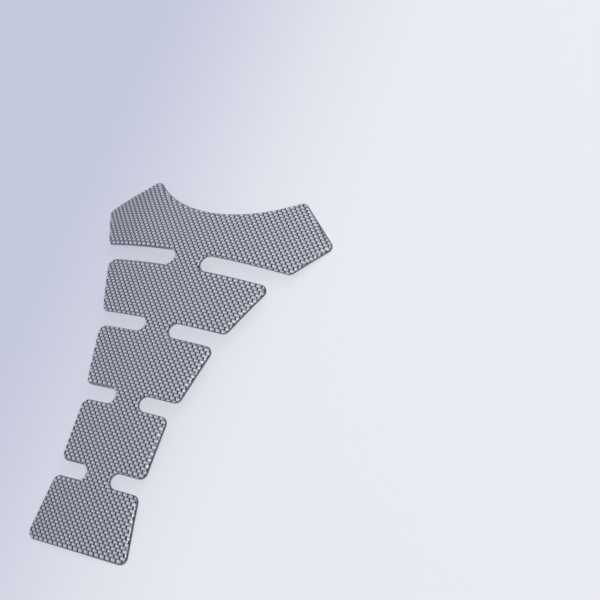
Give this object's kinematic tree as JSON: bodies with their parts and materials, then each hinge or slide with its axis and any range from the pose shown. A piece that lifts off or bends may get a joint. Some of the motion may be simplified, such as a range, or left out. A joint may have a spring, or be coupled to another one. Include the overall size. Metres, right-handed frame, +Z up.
{
  "type": "motorcycle tank pad",
  "caption": "Lobed stick-on tank protector: a flat woven-look print under a clear glossy dome, slotted to bend and curved to a fuel tank's crown.",
  "frame": {"origin": "middle of the pad's box, on the level surface that its tail corners and wing tips rest on", "axes": "+X across the pad, +Y along the spine from the tail to the wings, +Z up out of the dome"},
  "size_m": [0.1488, 0.2124, 0.016],
  "materials": {
    "carbon_print": "printed plain weave, silver strands with dark gaps",
    "clear_resin": "clear, glossy, self-levelled"
  },
  "bodies": {
    "root": {"printed_film": "carbon_print", "clear_dome": "clear_resin"}
  },
  "joints": []
}
